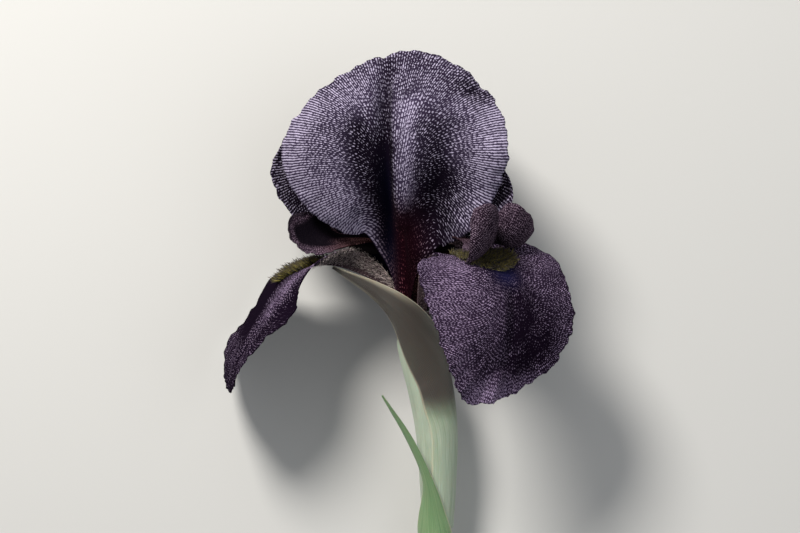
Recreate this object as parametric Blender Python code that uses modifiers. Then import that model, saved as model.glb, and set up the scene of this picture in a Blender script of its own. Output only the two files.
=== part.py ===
"""A black iris as picked: one flower on its cut stem, laid on its back.

The flower is shaped in plant coordinates, in millimetres: X to the right of someone who faces the
flower, Y to the back, Z up the stem, and the origin where the petals join the flower's tube. Every
part hangs on one empty, which turns the plant down onto its back, on the surface z = 0.
"""
import math

import bpy
import numpy as np

NAME = "iris"
MM = 0.001

# ---- Driving dimensions, in millimetres and degrees ------------------------------------------

# The stem's axis drifts to the right on its way down: (height, X) of its centre.
AXIS = [(-145.0, 9.0), (-71.0, 8.0), (-27.0, 6.0), (-13.0, 2.6), (-4.0, 0.1), (3.0, 0.0)]
STEM_END = -145.0
STEM_TOP = -62.0
STEM_RADIUS = 4.0
OVARY_RADIUS = 4.6
OVARY_TOP = -30.0
TUBE_RADIUS = 3.0
TUBE_MOUTH_RADIUS = 6.2
TUBE_TOP = 2.0
GAP = 0.3

# How far the stem leans off the surface that the flower lies on: the head is thicker than it.
LIE_ANGLE = 8.3
# Petals that meet the surface are pressed flat over about this height.
PRESS_SOFTNESS = 3.0

PETAL_THICKNESS = 0.6
STYLE_THICKNESS = 0.7
SPATHE_THICKNESS = 0.5
LEAF_THICKNESS = 0.6
BEARD_THICKNESS = 0.7

# Faces across and along the sheets
PETAL_FACES = (18, 14)
STYLE_FACES = (14, 13)
SPATHE_FACES = (12, 13)
LEAF_FACES = (6, 20)

# A petal is a fan of veins that run up from a narrow claw and spread to a rounded margin.
#   length     claw to margin along the midrib
#   centre     height of the blade's centre along the midrib
#   meet       how far round the margin reaches on each side, measured at the blade's centre
#   claw       half width at the foot; claw_length is the height where its edges let go
#   foot       distance of the foot from the stem's axis
#   radii      (angle, radius) of the margin, seen from the blade's centre
#   azimuth    direction that the petal grows in, round the stem
# These vary along the petal, as (share of its length, value):
#   lean       angle of the midrib off the stem's direction
#   cup        turn of the section towards the inner face, spread evenly up to the reference width
#   curl       the same for a turn that comes mostly near the edge
#   tilt       turn of the section at the midrib itself
#   twist      turn of the whole section about the midrib
#   sway       sideways shift of the midrib
# A name that ends in _right gives the right side of the midrib where the two sides differ.
#   groove     (depth, half width, place beside the midrib) of the crease along the petal
#   domes      (place across, place along, radius, height) of round swellings of the outer face
#   roll       turn of the whole petal in its own plane; shift moves it, and its foot with it
#   clearance  how far above the surface the petal is held, for petals that reach it
UNBENT = [(0, 0), (1, 0)]

STANDARD = dict(
    length=95.0, centre=57.0, meet=158.0, claw=2.1, claw_length=26.0, foot=4.9,
    radii=[(0, 36.5), (30, 34.5), (60, 36), (90, 38), (125, 35), (150, 30), (158, 29)],
    lean=[(0, 8), (0.2, 22), (0.4, 24), (0.7, -10), (1.0, -42)],
    cup=[(0, 55), (0.25, 30), (0.6, 25), (1, 20)], groove=(4.0, 3.0, 0.0), reference=38.0)

FALL = dict(
    length=99.0, centre=71.0, meet=150.0, claw=2.1, claw_length=30.0, foot=4.9,
    radii=[(0, 26), (45, 25.5), (90, 28.5), (120, 33.5), (135, 36), (150, 34)],
    lean=[(0, 8), (0.1, 26), (0.2, 72), (0.3, 84), (0.42, 95), (0.56, 145), (0.7, 178), (1, 196)],
    cup=[(0, 55), (0.15, 60), (0.3, 30), (0.45, -20), (1, -20)], groove=(0.0, 3.0, 0.0), reference=28.0)

STYLE_ARM = dict(
    length=74.0, centre=54.0, meet=150.0, claw=1.0, claw_length=20.0, foot=1.3,
    radii=[(0, 5), (12, 12), (30, 18), (60, 16), (90, 12.5), (120, 9), (150, 8)],
    lean=[(0, 2), (0.14, 10), (0.27, 32), (0.37, 70), (0.45, 90), (0.58, 100), (0.68, 95),
          (0.76, 50), (0.86, -5), (1, -60)],
    cup=[(0, -40), (0.5, -50), (0.62, -45), (0.75, 60), (1, 80)],
    tilt=[(0, 0), (0.6, 0), (0.75, -30), (1, -35)], groove=(0.0, 3.0, 0.0), reference=13.0)

PETALS = {
    "front_standard": dict(
        STANDARD, azimuth=-97.0, roll=0.5, shift=(-2.0, 0.0, 0.0), groove=(4.5, 3.6, -3.4),
        radii=[(0, 36), (14, 33), (30, 31), (60, 34), (90, 40.2), (125, 38), (150, 34), (158, 32.5)],
        radii_right=[(0, 36), (14, 36), (30, 35), (60, 35.6), (90, 36.1), (125, 35), (150, 32),
                     (158, 31)],
        lean=[(0, 8), (0.2, 24), (0.4, 26), (0.7, -10), (1.0, -46)],
        cup=[(0, 55), (0.25, 40), (0.6, 50), (1, 50)],
        cup_right=[(0, 55), (0.25, 28), (0.6, 10), (1, 30)],
        tilt=[(0, 0), (0.25, -6), (0.6, -16), (1, -5)],
        tilt_right=[(0, 0), (0.25, 0), (0.6, 0), (1, 0)]),
    "rear_left_standard": dict(
        STANDARD, azimuth=138.0, shift=(0.0, 2.0, 0.0),
        radii=[(0, 35), (30, 35), (60, 35), (90, 35), (125, 30), (150, 24), (158, 22)],
        radii_right=[(0, 35), (30, 28), (60, 24.5), (90, 29.5), (110, 34.5), (125, 36.5), (150, 31.5),
                     (158, 28)],
        lean=[(0, 14), (0.08, 36), (0.2, 35), (0.4, 27), (0.7, -12), (1.0, -60)],
        cup=[(0, 55), (0.25, 30), (0.6, 8), (1, 20)],
        cup_right=[(0, 55), (0.25, 30), (0.6, 10), (1, 30)],
        twist=[(0, 0), (0.25, -2), (0.5, -12), (1, -12)], clearance=0.0),
    "rear_right_standard": dict(
        STANDARD, azimuth=20.0, length=90.0, centre=50.0,
        lean=[(0, 10), (0.2, 20), (0.4, 18), (0.7, -12), (1.0, -58)],
        radii=[(0, 35), (30, 30), (60, 26), (90, 26.5), (100, 36), (107, 43), (115, 43),
               (125, 35), (150, 27), (158, 24)],
        radii_right=[(0, 36), (30, 32), (60, 28), (90, 27), (125, 27), (150, 24), (158, 22)],
        cup=[(0, 55), (0.25, 20), (0.6, 8), (1, 30)],
        cup_right=[(0, 55), (0.25, 50), (0.6, 80), (1, 70)],
        sway=[(0, 0), (0.25, 1), (0.6, 9), (1, 9)], twist=[(0, 0), (0.25, 4), (0.6, 18), (1, 18)],
        clearance=3.0),
    "left_fall": dict(
        FALL, azimuth=-175.0, length=88.0, claw_length=8.0,
        radii=[(0, 15.5), (45, 19), (90, 24), (120, 28.5), (135, 31.5), (150, 33)],
        radii_right=[(0, 15.5), (45, 18), (90, 21.5), (120, 24), (135, 27), (150, 30.5)],
        lean=[(0, 5), (0.03, 12), (0.08, 42), (0.13, 60), (0.2, 65), (0.28, 74), (0.34, 88), (0.4, 104),
              (0.48, 121), (0.56, 142), (0.66, 150), (0.82, 154), (0.92, 168), (1.0, 180)],
        cup=[(0, 55), (0.15, 60), (0.3, 20), (0.4, 0), (0.5, 14), (0.62, 6), (0.72, 6), (0.82, 18), (1, 12)],
        cup_right=[(0, 55), (0.1, 50), (0.3, 0), (0.42, -10), (0.5, -16), (0.58, -8), (0.66, 10),
                   (0.8, 12), (0.9, 4), (1, -4)],
        tilt=[(0, 0), (1, 0)],
        tilt_right=[(0, 0), (0.06, 20), (0.14, 58), (0.25, 58), (0.34, 20), (0.42, 0), (1, 0)],
        curl_right=[(0, 0), (0.3, 0), (0.4, -8), (1, -8)],
        twist=[(0, 0), (0.3, 0), (0.5, -2), (1, -2)]),
    "right_fall": dict(
        FALL, azimuth=-50.0,
        radii=[(0, 24.8), (18, 26.8), (45, 24.6), (90, 27.2), (120, 35), (135, 41), (150, 37)],
        radii_right=[(0, 24.8), (45, 23.2), (90, 23.8), (120, 25), (135, 30), (150, 35)],
        cup_right=[(0, 55), (0.15, 60), (0.3, 40), (0.45, 16), (0.6, 12), (1, 5)],
        tilt_right=[(0, 0), (0.06, 20), (0.14, 50), (0.25, 50), (0.34, 20), (0.45, 4), (0.6, 4),
                    (1, 0)],
        sway=[(0, 0), (0.45, 0), (0.75, -3), (1, -9)]),
    "rear_fall": dict(
        FALL, azimuth=75.0, length=78.0, centre=56.0,
        radii=[(0, 21), (45, 21), (90, 22), (120, 24), (150, 25)],
        lean=[(0, 8), (0.12, 24), (0.22, 70), (0.34, 92), (0.5, 140), (0.66, 172), (1.0, 172)],
        sway=[(0, 0), (0.25, -4), (0.55, -16), (1, -18)], twist=[(0, 0), (0.3, 0), (0.5, 8), (1, 8)],
        cup=[(0, 55), (0.15, 50), (0.3, 20), (0.45, 0), (1, 0)], clearance=0.9),
}

STYLE_ARMS = {
    "left_style_arm": dict(
        STYLE_ARM, azimuth=-166.0, length=68.0, centre=49.0,
        lean=[(0, 2), (0.14, 10), (0.27, 28), (0.37, 66), (0.45, 90), (0.56, 98), (0.66, 92),
              (0.76, 62), (0.86, 28), (1, -5)],
        radii=[(0, 12), (12, 13), (30, 14), (60, 15.5), (90, 15.5), (120, 15), (150, 11)],
        radii_right=[(0, 12), (12, 10), (30, 8), (60, 6.5), (90, 5.5), (120, 5.5), (150, 7)],
        cup=[(0, -40), (0.4, -45), (0.55, -10), (0.7, 40), (1, 55)],
        cup_right=[(0, -40), (0.5, -30), (0.62, 30), (0.75, 60), (1, 60)],
        twist=[(0, 0), (0.35, 0), (0.6, -40), (0.75, -58), (1, -58)],
        domes=[(-8.0, 52.0, 9.0, 1.0)],
        tilt=[(0, 0), (1, 0)]),
    "right_style_arm": dict(
        STYLE_ARM, azimuth=-50.0,
        lean=[(0, 2), (0.14, 10), (0.27, 32), (0.37, 70), (0.45, 90), (0.58, 100), (0.67, 92),
              (0.74, 52), (0.8, 16), (0.9, 0), (1, -12)],
        radii=[(0, 5), (12, 6.5), (30, 13), (45, 17), (60, 20), (75, 19), (90, 15), (120, 9), (150, 8)],
        radii_right=[(0, 5), (12, 12), (22, 13.4), (32, 13.3), (45, 14.2), (60, 15.6), (75, 16.4),
                     (90, 15.2), (120, 8.5), (150, 8)],
        cup=[(0, -40), (0.5, -50), (0.62, -45), (0.75, 10), (1, 20)],
        cup_right=[(0, -40), (0.5, -40), (0.62, -30), (0.75, 10), (1, 20)],
        domes=[(-9.5, 60.0, 8.5, 4.0), (10.5, 61.5, 9.5, 6.0)],
        tilt=[(0, 0), (0.6, 0), (0.75, -35), (1, -35)],
        tilt_right=[(0, 0), (0.6, 0), (0.75, 0), (1, 0)]),
    "rear_style_arm": dict(
        STYLE_ARM, azimuth=78.0, length=44.0, centre=34.0, clearance=5.0,
        lean=[(0, 2), (0.2, 8), (0.4, 26), (0.6, 60), (0.75, 70), (0.87, 20), (1, -30)],
        radii=[(0, 3), (12, 6), (30, 8), (60, 8), (90, 7.5), (120, 7), (150, 6)]),
}

# The beard covers these shares of a fall's grid: across from the midrib, and along the veins.
BEARD_ACROSS = 3
BEARD_ALONG = (2, 6)

# A ribbon is a sheet with a round section: at each station it gives the middle of the sheet, the
# direction that its outer face looks in (azimuth and elevation), the section's radius, and the
# half angle that the section spans. Where it wraps the stem, a station is (height, azimuth,
# radius, half angle) and the middle follows from the stem's axis.
OUTER_SPATHE = [
    (-69.0, 15, 5.4, 125), (-55.0, 15, 6.3, 120), (-38.0, 12, 7.3, 112), (-27.0, -5, 8.0, 100),
    (-18.0, -32, 8.3, 78), (-9.0, -66, 8.6, 60), ((-3.2, -10.0, 1.6), -95, -10, 7.5, 43),
    ((-12.6, -8.6, 9.2), -105, -20, 6.0, 30), ((-26.0, -7.0, 16.8), -110, -20, 5.0, 6),
]
INNER_SPATHE = [
    (-68.5, -118, 4.55, 125), (-55.0, -118, 5.2, 120), (-38.0, -118, 6.0, 112),
    (-24.0, -118, 6.4, 100), (-10.0, -118, 6.2, 66), (-4.0, -112, 5.8, 15),
]
STEM_LEAF = [
    (-128.0, -120, 4.85, 150), (-100.0, -118, 4.85, 140), (-80.0, -110, 5.1, 105),
    (-66.0, -105, 6.4, 50), ((4.8, -8.8, -53.0), -112, 5, 2.3, 50),
    ((-1.2, -10.5, -39.0), -118, 10, 1.5, 46), ((-9.8, -11.0, -25.0), -120, 10, 1.4, 12),
]

# A stamen lies between a fall's claw and the style arm above it: (distance from the axis, height).
FILAMENT_PATH = [(3.3, 2.4), (4.0, 9.0), (5.6, 15.8), (8.0, 20.0), (10.4, 21.6)]
FILAMENT_RADIUS = 0.45
ANTHER_PATH = [(11.0, 21.9), (12.6, 22.3), (16.4, 22.9), (19.6, 23.0), (21.4, 22.9)]
ANTHER_RADII = [0.45, 1.0, 1.15, 1.0, 0.4]

# ---- Materials: colour, roughness -------------------------------------------------------------

FINISHES = {
    "standard_velvet": ((0.085, 0.065, 0.105), 0.72),
    "fall_velvet": ((0.050, 0.033, 0.062), 0.78),
    "style_velvet": ((0.060, 0.035, 0.055), 0.70),
    "beard_hair": ((0.150, 0.130, 0.030), 0.90),
    "stamen": ((0.420, 0.380, 0.240), 0.80),
    "tube_skin": ((0.180, 0.200, 0.130), 0.60),
    "spathe_skin": ((0.400, 0.460, 0.340), 0.55),
    "stem_skin": ((0.260, 0.400, 0.200), 0.50),
    "leaf_skin": ((0.200, 0.360, 0.190), 0.50),
}


def make_material(finish):
    """A Principled material for one finish, shared by the parts that have it."""
    material = bpy.data.materials.get(finish)
    if material is None:
        colour, roughness = FINISHES[finish]
        material = bpy.data.materials.new(finish)
        material.use_nodes = True
        shader = material.node_tree.nodes["Principled BSDF"]
        shader.inputs["Base Color"].default_value = (*colour, 1.0)
        shader.inputs["Roughness"].default_value = roughness
        shader.inputs["Metallic"].default_value = 0.0
    return material


# ---- Curves and sheets as formulas ------------------------------------------------------------

def through(keys, position):
    """The smooth curve through (position, value) keys, read at the given positions."""
    at = np.array([key[0] for key in keys], float)
    value = np.array([key[1] for key in keys], float)
    slope = np.gradient(value, at)
    position = np.clip(position, at[0], at[-1])
    i = np.clip(np.searchsorted(at, position, side="right") - 1, 0, len(at) - 2)
    step = at[i + 1] - at[i]
    f = (position - at[i]) / step
    rise = value[i] * (2 * f**3 - 3 * f**2 + 1) + value[i + 1] * (3 * f**2 - 2 * f**3)
    return rise + step * (slope[i] * (f**3 - 2 * f**2 + f) + slope[i + 1] * (f**3 - f**2))


def axis_x(height):
    """X of the stem's centre at a height."""
    return through(AXIS, np.asarray(height, float))


def either_side(petal, name, position, right):
    """A keyed value of the petal, which may differ on the right of the midrib."""
    value = through(petal.get(name, UNBENT), position)
    if name + "_right" in petal:
        value = np.where(right, through(petal[name + "_right"], position), value)
    return value


def fan(petal, share, t):
    """Flat petal: where the vein at share (-1 to 1 across) is at t (0 claw, 1 margin).

    Each vein is a cubic curve. It sets off straight up the claw and ends square to the margin. The
    two edge veins bend late and end short, so that they stay outside their neighbours.
    """
    angle = share * math.radians(petal["meet"])
    radius = either_side(petal, "radii", np.degrees(np.abs(angle)), angle > 0)
    centre = petal["centre"]
    edge_x, edge_y = radius * np.sin(angle), centre + radius * np.cos(angle)
    off = np.abs(share)
    foot_x = petal["claw"] * share
    rise = centre * (1 - off**5) + 0.5 * petal["claw_length"] * off**5
    reach = 0.9 * radius * (1 - off**16) + 2.0 * off**16
    bend_x, bend_y = edge_x - reach * np.sin(angle), edge_y - reach * np.cos(angle)
    b0, b1, b2, b3 = (1 - t)**3, 3 * t * (1 - t)**2, 3 * t**2 * (1 - t), t**3
    return (b0 + b1) * foot_x + b2 * bend_x + b3 * edge_x, b1 * rise + b2 * bend_y + b3 * edge_y


def midrib(petal, y):
    """Distance out, height and lean angle of the midrib, y along it."""
    length = petal["length"]
    s = np.linspace(0, 1.05 * length, 241)  # a little past the margin, for slopes taken there
    lean = np.radians(through(petal["lean"], s / length))
    middle = (lean[1:] + lean[:-1]) / 2
    out = petal["foot"] + np.concatenate([[0], np.cumsum(np.sin(middle) * s[1])])
    up = TUBE_TOP + GAP + np.concatenate([[0], np.cumsum(np.cos(middle) * s[1])])
    y = np.clip(y, 0, s[-1])
    return np.interp(y, s, out), np.interp(y, s, up), np.interp(y, s, lean)


def section(petal, x, y):
    """The petal's cross section at y: the flat x becomes a sideways and an inward distance."""
    along = y / petal["length"]
    right = x > 0
    cup = either_side(petal, "cup", along, right)
    curl = either_side(petal, "curl", along, right)
    tilt = either_side(petal, "tilt", along, right)
    q = np.abs(x) / petal["reference"]
    steps = 16  # the section is summed up in this many chords from midrib to edge
    across, inward = np.zeros_like(x), np.zeros_like(x)
    for step in range(steps):
        f = (step + 0.5) / steps * q
        turn = np.radians(tilt + cup * f + curl * f**4)
        across += np.cos(turn) / steps
        inward += np.sin(turn) / steps
    across, inward = across * x, inward * np.abs(x)
    depth, half, aside = petal["groove"]
    fade = np.clip(3 * along, 0, 1) * np.clip(4 * (1 - along), 0, 1)
    inward = inward + depth * np.exp(-((x - aside) / half)**2) * fade
    for place_x, place_y, radius, height in petal.get("domes", ()):
        away = ((x - place_x)**2 + (y - place_y)**2) / radius**2
        inward = inward - height * np.sqrt(np.clip(1 - away, 0, 1))
    twist = np.radians(through(petal.get("twist", UNBENT), along))
    sway = through(petal.get("sway", UNBENT), along)
    sideways = across * np.cos(twist) - inward * np.sin(twist) + sway
    return sideways, inward * np.cos(twist) + across * np.sin(twist)


def height_over_surface(points):
    """How far plant points are above the surface that the flower lies on."""
    lie = math.radians(LIE_ANGLE)
    return (STEM_RADIUS - points[..., 1]) * math.cos(lie) + (points[..., 2] - STEM_END) * math.sin(lie)


def press(points, clearance):
    """Plant points held at least the clearance above the surface, with a soft start."""
    lie = math.radians(LIE_ANGLE)
    height = height_over_surface(points) - clearance - PETAL_THICKNESS / 2
    lift = (np.sqrt(height**2 + PRESS_SOFTNESS**2) - height) / 2
    return points + lift[..., None] * np.array([0.0, -math.cos(lie), math.sin(lie)])


def petal_points(petal, share, t):
    """Plant points of the petal's middle surface."""
    x, y = fan(petal, share, t)
    out, up, lean = midrib(petal, y)
    sideways, inward = section(petal, x, y)
    azimuth = math.radians(petal["azimuth"])
    outward = np.array([math.cos(azimuth), math.sin(azimuth), 0.0])
    across = np.array([-math.sin(azimuth), math.cos(azimuth), 0.0])
    upward = np.array([0.0, 0.0, 1.0])
    roll = math.radians(petal.get("roll", 0.0))
    across, upward = (across * math.cos(roll) + upward * math.sin(roll),
                      upward * math.cos(roll) - across * math.sin(roll))
    points = ((out - inward * np.cos(lean))[..., None] * outward
              + sideways[..., None] * across
              + (up + inward * np.sin(lean))[..., None] * upward)
    points = points + np.array(petal.get("shift", (0.0, 0.0, 0.0)))
    if "clearance" in petal:
        points = press(points, petal["clearance"])
    return points


def ribbon_points(stations, u, v):
    """Plant points of a ribbon: u is -1 to 1 across it, v is 0 to 1 along it."""
    order = np.arange(len(stations)) / (len(stations) - 1)

    def read(values, at):
        return through(list(zip(order, values)), at)

    def middle(at):
        return np.stack([read([s[0][k] for s in stations], at) for k in range(3)], -1)

    step = 0.01
    tangent = middle(np.clip(v + step, 0, 1)) - middle(np.clip(v - step, 0, 1))
    tangent /= np.linalg.norm(tangent, axis=-1, keepdims=True)
    azimuth = np.radians(read([s[1] for s in stations], v))
    elevation = np.radians(read([s[2] for s in stations], v))
    radius = read([s[3] for s in stations], v)
    spread = np.radians(read([s[4] for s in stations], v))
    facing = np.stack([np.cos(azimuth) * np.cos(elevation), np.sin(azimuth) * np.cos(elevation),
                       np.sin(elevation)], -1)
    facing -= np.sum(facing * tangent, -1, keepdims=True) * tangent
    facing /= np.linalg.norm(facing, axis=-1, keepdims=True)
    side = np.cross(tangent, facing)
    turn = u * spread
    return (middle(v) + ((np.cos(turn) - 1) * radius)[..., None] * facing
            + (np.sin(turn) * radius)[..., None] * side)


# ---- Objects ----------------------------------------------------------------------------------

def on_stem(station):
    """A ribbon's station in full, where it is given by its place round the stem."""
    if len(station) == 5:
        return station
    height, azimuth, radius, spread = station
    turn = math.radians(azimuth)
    middle = (float(axis_x(height)) + radius * math.cos(turn), radius * math.sin(turn), height)
    return middle, azimuth, 0.0, radius, spread


def clear_scene():
    for thing in list(bpy.data.objects):
        bpy.data.objects.remove(thing, do_unlink=True)


def adopt(thing, name, finish, parts, plant):
    """Name the object, give it its finish, and hang it on the plant's empty."""
    thing.name = name
    thing.data.name = name
    thing.data.materials.clear()
    thing.data.materials.append(make_material(finish))
    for collection in list(thing.users_collection):
        collection.objects.unlink(thing)
    parts.objects.link(thing)
    thing.parent = plant
    return thing


def sheet(name, faces, shape, thickness, finish, parts, plant):
    """A closed sheet: a grid laid over the shape's formula, then given its thickness."""
    across, along = faces
    bpy.ops.mesh.primitive_grid_add(x_subdivisions=across, y_subdivisions=along, size=2.0)
    thing = bpy.context.object
    flat = np.array([vertex.co for vertex in thing.data.vertices])
    points = shape(flat[:, 0], (flat[:, 1] + 1) / 2) * MM
    thing.data.vertices.foreach_set("co", points.ravel())
    thing.data.shade_smooth()
    solid = thing.modifiers.new("Thickness", "SOLIDIFY")
    solid.thickness = thickness * MM
    solid.offset = 0.0
    return adopt(thing, name, finish, parts, plant)


def rod(name, points, radii, sides, finish, parts, plant):
    """A closed round rod through the points, with its own radius at each."""
    curve = bpy.data.curves.new(name, "CURVE")
    curve.dimensions = "3D"
    curve.bevel_depth = MM
    curve.bevel_resolution = sides // 2 - 2
    curve.use_fill_caps = True
    spline = curve.splines.new("POLY")
    spline.points.add(len(points) - 1)
    for knot, point, radius in zip(spline.points, points, radii):
        knot.co = (*(c * MM for c in point), 1.0)
        knot.radius = radius
    return adopt(bpy.data.objects.new(name, curve), name, finish, parts, plant)


def on_axis(heights):
    return [(float(axis_x(z)), 0.0, z) for z in heights]


def at_azimuth(path, azimuth):
    turn = math.radians(azimuth)
    return [(r * math.cos(turn), r * math.sin(turn), z) for r, z in path]


def make_petals(parts, plant):
    for name, petal in PETALS.items():
        finish = "standard_velvet" if "standard" in name else "fall_velvet"
        sheet(name, PETAL_FACES, lambda u, v, p=petal: petal_points(p, u, v),
              PETAL_THICKNESS, finish, parts, plant)


def make_beards(parts, plant):
    """Each beard lies over the middle of its fall and keeps the fall's own grid lines."""
    across, along = PETAL_FACES
    half = BEARD_ACROSS / (across / 2)
    first, last = (line / along for line in BEARD_ALONG)
    raised = PETAL_THICKNESS / 2 + GAP + BEARD_THICKNESS / 2
    for side in ("left", "right", "rear"):
        fall = PETALS[side + "_fall"]

        def shape(u, v):
            share, t = u * half, first + v * (last - first)
            step = 0.01
            along_vein = petal_points(fall, share, t + step) - petal_points(fall, share, t - step)
            over = petal_points(fall, share + step, t) - petal_points(fall, share - step, t)
            normal = np.cross(along_vein, over)
            normal /= np.linalg.norm(normal, axis=-1, keepdims=True)
            return petal_points(fall, share, t) + raised * normal

        faces = (2 * BEARD_ACROSS, BEARD_ALONG[1] - BEARD_ALONG[0])
        sheet(side + "_beard", faces, shape, BEARD_THICKNESS, "beard_hair", parts, plant)


def make_style_arms(parts, plant):
    for name, arm in STYLE_ARMS.items():
        sheet(name, STYLE_FACES, lambda u, v, p=arm: petal_points(p, u, v),
              STYLE_THICKNESS, "style_velvet", parts, plant)


def make_stamens(parts, plant):
    for side in ("left", "right", "rear"):
        azimuth = STYLE_ARMS[side + "_style_arm"]["azimuth"]
        radii = [FILAMENT_RADIUS] * len(FILAMENT_PATH)
        rod(side + "_filament", at_azimuth(FILAMENT_PATH, azimuth), radii, 8, "stamen", parts, plant)
        rod(side + "_anther", at_azimuth(ANTHER_PATH, azimuth), ANTHER_RADII, 8, "stamen", parts,
            plant)


def make_stem(parts, plant):
    heights = np.linspace(STEM_END, STEM_TOP, 7)
    rod("stem", on_axis(heights), [STEM_RADIUS] * 7, 16, "stem_skin", parts, plant)

    length = OVARY_TOP - STEM_TOP - GAP
    shares = np.array([0, 0.06, 0.2, 0.4, 0.6, 0.8, 0.94, 1.0])
    swell = TUBE_RADIUS + (OVARY_RADIUS - TUBE_RADIUS) * np.sin(math.pi * shares)**0.6
    rod("ovary", on_axis(STEM_TOP + GAP + shares * length), swell, 16, "stem_skin", parts, plant)

    shares = np.array([0, 0.3, 0.6, 0.8, 0.92, 1.0])
    flare = TUBE_RADIUS + (TUBE_MOUTH_RADIUS - TUBE_RADIUS) * shares**5
    heights = OVARY_TOP + GAP + shares * (TUBE_TOP - OVARY_TOP - GAP)
    rod("perianth_tube", on_axis(heights), flare, 16, "tube_skin", parts, plant)


def make_leaves(parts, plant):
    for name, stations, thickness, faces, finish in (
            ("outer_spathe", OUTER_SPATHE, SPATHE_THICKNESS, SPATHE_FACES, "spathe_skin"),
            ("inner_spathe", INNER_SPATHE, SPATHE_THICKNESS, SPATHE_FACES, "spathe_skin"),
            ("stem_leaf", STEM_LEAF, LEAF_THICKNESS, LEAF_FACES, "leaf_skin")):
        full = [on_stem(station) for station in stations]
        sheet(name, faces, lambda u, v, s=full: ribbon_points(s, u, v), thickness, finish, parts,
              plant)


def lay_down(parts, plant):
    """Turn the plant onto its back, centred over the origin and resting on z = 0."""
    plant.rotation_euler = (-math.radians(90 - LIE_ANGLE), 0.0, 0.0)
    bpy.context.view_layer.update()
    graph = bpy.context.evaluated_depsgraph_get()
    low, high = np.full(3, np.inf), np.full(3, -np.inf)
    for thing in parts.objects:
        if thing.type == "EMPTY":
            continue
        shown = thing.evaluated_get(graph)
        mesh = shown.to_mesh()
        places = np.array([shown.matrix_world @ vertex.co for vertex in mesh.vertices])
        low, high = np.minimum(low, places.min(0)), np.maximum(high, places.max(0))
        shown.to_mesh_clear()
    plant.location = (-(low[0] + high[0]) / 2, -(low[1] + high[1]) / 2, -low[2])


def main():
    clear_scene()
    parts = bpy.data.collections.new(NAME)
    bpy.context.scene.collection.children.link(parts)
    plant = bpy.data.objects.new("plant", None)
    parts.objects.link(plant)
    make_petals(parts, plant)
    make_beards(parts, plant)
    make_style_arms(parts, plant)
    make_stamens(parts, plant)
    make_stem(parts, plant)
    make_leaves(parts, plant)
    lay_down(parts, plant)


main()
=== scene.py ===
"""A black iris, laid on its back: the flower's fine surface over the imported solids.

Plant coordinates are in millimetres, with X to the right of someone who faces the flower, Y to the
back and Z up the stem. The petals follow the same formulas and named sizes as the solids, on a
finer grid, and get their folds, frills, veins and hairs here.
"""
from math import cos, pi, radians, sin

import bpy
import numpy as np
from mathutils import Matrix, Vector


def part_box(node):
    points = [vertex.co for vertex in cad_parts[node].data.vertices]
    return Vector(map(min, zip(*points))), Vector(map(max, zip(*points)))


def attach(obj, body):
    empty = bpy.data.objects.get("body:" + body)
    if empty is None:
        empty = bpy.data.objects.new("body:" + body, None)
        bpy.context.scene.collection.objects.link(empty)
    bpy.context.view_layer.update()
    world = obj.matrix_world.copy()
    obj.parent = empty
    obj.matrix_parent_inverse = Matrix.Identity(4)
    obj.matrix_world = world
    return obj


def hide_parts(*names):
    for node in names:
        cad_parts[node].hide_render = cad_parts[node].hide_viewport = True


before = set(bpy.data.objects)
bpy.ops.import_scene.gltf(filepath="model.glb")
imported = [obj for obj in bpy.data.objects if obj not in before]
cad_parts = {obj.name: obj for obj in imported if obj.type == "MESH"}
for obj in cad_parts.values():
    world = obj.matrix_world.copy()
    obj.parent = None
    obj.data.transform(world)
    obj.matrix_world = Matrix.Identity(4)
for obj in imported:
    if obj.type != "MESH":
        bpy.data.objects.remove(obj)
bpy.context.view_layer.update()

MM = 0.001

# ---- The flower's sizes, in millimetres and degrees ----

# The stem's axis drifts to the right on its way down: {height: X of its centre}.
AXIS = {-145: 9, -71: 8, -27: 6, -13: 2.6, -4: 0.1, 3: 0}
STEM_END = -145
STEM_TOP = -62
STEM_RADIUS = 4
OVARY_RADIUS = 4.6
OVARY_TOP = -30
TUBE_RADIUS = 3
TUBE_MOUTH_RADIUS = 6.2
TUBE_TOP = 2
GAP = 0.3

# How far the stem leans off the surface that the flower lies on: the head is thicker than it.
LIE_ANGLE = 8.3
# Petals that meet the surface are pressed flat over about this height.
PRESS_SOFTNESS = 3

PETAL_THICKNESS = 0.6
SPATHE_THICKNESS = 0.5
LEAF_THICKNESS = 0.6

# Faces across and along a petal's solid
PETAL_FACES = (18, 14)

# A petal is a fan of veins that run up from a narrow claw and spread to a rounded margin.
#   length: claw to margin along the midrib
#   centre: height of the blade's centre along the midrib
#   meet: how far round the margin reaches on each side, measured at the blade's centre
#   claw: half width at the foot; claw_length is the height where its edges let go
#   foot: distance of the foot from the stem's axis
#   radii: {angle: radius} of the margin, seen from the blade's centre
#   azimuth: direction that the petal grows in, round the stem
# These vary along the petal, as {share of its length: value}:
#   lean: angle of the midrib off the stem's direction
#   cup: turn of the section towards the inner face, spread evenly up to the reference width
#   curl: the same for a turn that comes mostly near the edge
#   tilt: turn of the section at the midrib itself
#   twist: turn of the whole section about the midrib
#   sway: sideways shift of the midrib
# A name that ends in _right gives the right side of the midrib where the two sides differ.
#   groove: (depth, half width, place beside the midrib) of the crease along the petal
#   domes: (place across, place along, radius, height) of round swellings of the outer face
#   roll: turn of the whole petal in its own plane; shift moves it, and its foot with it
#   clearance: how far above the surface the petal is held, for petals that reach it
UNBENT = {0: 0, 1: 0}

STANDARD = dict(
    length=95, centre=57, meet=158, claw=2.1, claw_length=26, foot=4.9, groove=(4, 3, 0), reference=38)

FALL = dict(
    length=99, centre=71, meet=150, claw=2.1, claw_length=30, foot=4.9,
    lean={0: 8, 0.1: 26, 0.2: 72, 0.3: 84, 0.42: 95, 0.56: 145, 0.7: 178, 1: 196},
    cup={0: 55, 0.15: 60, 0.3: 30, 0.45: -20, 1: -20}, reference=28)

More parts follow.
